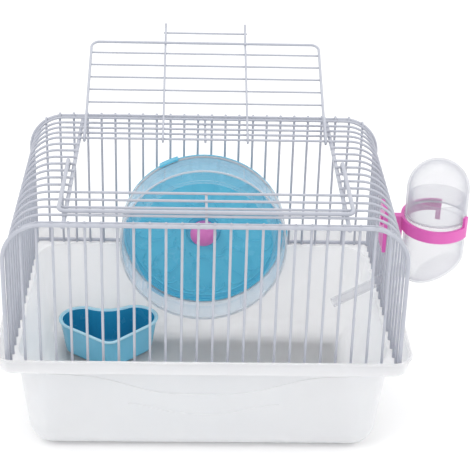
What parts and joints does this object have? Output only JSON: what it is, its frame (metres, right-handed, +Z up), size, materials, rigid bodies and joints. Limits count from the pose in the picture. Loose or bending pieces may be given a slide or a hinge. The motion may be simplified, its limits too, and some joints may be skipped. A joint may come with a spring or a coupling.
{
  "type": "hamster cage",
  "caption": "Small wire pet cage on a translucent plastic tub, with a roof door, a folding handle, a running wheel, a water bottle in a ring and a heart-shaped food bowl.",
  "frame": {"origin": "centre of the tub's flat underside", "axes": "+X to the right seen from the front, where the bottle hangs; +Y to the rear, where the wheel is; +Z up"},
  "size_m": [0.326, 0.2651, 0.2324],
  "materials": {
    "tub_plastic": "translucent, satin",
    "coated_wire": "white plastic coating",
    "drum_plastic": "clear gloss",
    "disc_plastic": "translucent gloss",
    "cap_plastic": "gloss",
    "ring_plastic": "gloss",
    "bottle_plastic": "clear gloss",
    "seal_rubber": "matt",
    "pin_steel": "bright",
    "bracket_plastic": "gloss",
    "bowl_plastic": "translucent gloss"
  },
  "bodies": {
    "tub": {"tray": "tub_plastic"},
    "wire_top": {"bottom_frame_wire": "coated_wire", "front_arch_wire": "coated_wire", "rear_arch_wire": "coated_wire", "front_bars": "coated_wire", "rear_bars": "coated_wire", "door_hinge_hoop": "coated_wire", "roof_hoop_01": "coated_wire", "roof_hoop_02": "coated_wire", "roof_hoop_03": "coated_wire", "roof_hoop_04": "coated_wire", "roof_hoop_13": "coated_wire", "roof_hoop_14": "coated_wire", "roof_hoop_15": "coated_wire", "roof_hoop_16": "coated_wire", "roof_hoop_17": "coated_wire", "left_side_bars": "coated_wire", "right_side_bars": "coated_wire", "left_opening_rail": "coated_wire", "right_opening_rail": "coated_wire", "front_roof_stay": "coated_wire", "rear_roof_stay": "coated_wire", "wheel_axle": "pin_steel", "wheel_hub_cap": "cap_plastic", "wheel_bracket": "bracket_plastic", "wheel_clamp_plate": "bracket_plastic", "wheel_nut": "cap_plastic", "bottle_ring": "ring_plastic", "ring_lock_plate": "ring_plastic", "bottle_base": "bottle_plastic", "bottle_seal": "seal_rubber", "drinking_tube": "bottle_plastic"},
    "door": {"door_frame": "coated_wire", "door_cross_wires": "coated_wire", "door_latch_wires": "coated_wire", "door_latch_bar": "coated_wire"},
    "handle": {"carry_handle": "coated_wire"},
    "wheel": {"wheel_drum": "drum_plastic", "wheel_disc": "disc_plastic"},
    "bottle_top": {"bottle_body": "bottle_plastic"},
    "bowl": {"food_bowl": "bowl_plastic"}
  },
  "joints": [
    {"name": "wire_top_lift", "type": "slide", "parent": "tub", "child": "wire_top", "axis": [0, 0, 1], "range_m": [0, 0.12]},
    {"name": "door_hinge", "type": "hinge", "parent": "wire_top", "child": "door", "pos_m": [0, 0.0506, 0.18135], "axis": [1, 0, 0], "range_deg": [0, 156]},
    {"name": "handle_hinge", "type": "hinge", "parent": "wire_top", "child": "handle", "pos_m": [0, 0.00393, 0.18135], "axis": [-1, 0, 0], "range_deg": [0, 90]},
    {"name": "wheel_spin", "type": "hinge", "parent": "wire_top", "child": "wheel", "pos_m": [0, 0.076, 0.09535], "axis": [0, 1, 0], "continuous": true},
    {"name": "bottle_top_lift", "type": "slide", "parent": "wire_top", "child": "bottle_top", "axis": [0, 0, 1], "range_m": [0, 0.04]},
    {"name": "bowl_slide", "type": "slide", "parent": "tub", "child": "bowl", "axis": [0, -1, 0], "range_m": [0, 0.06]}
  ]
}
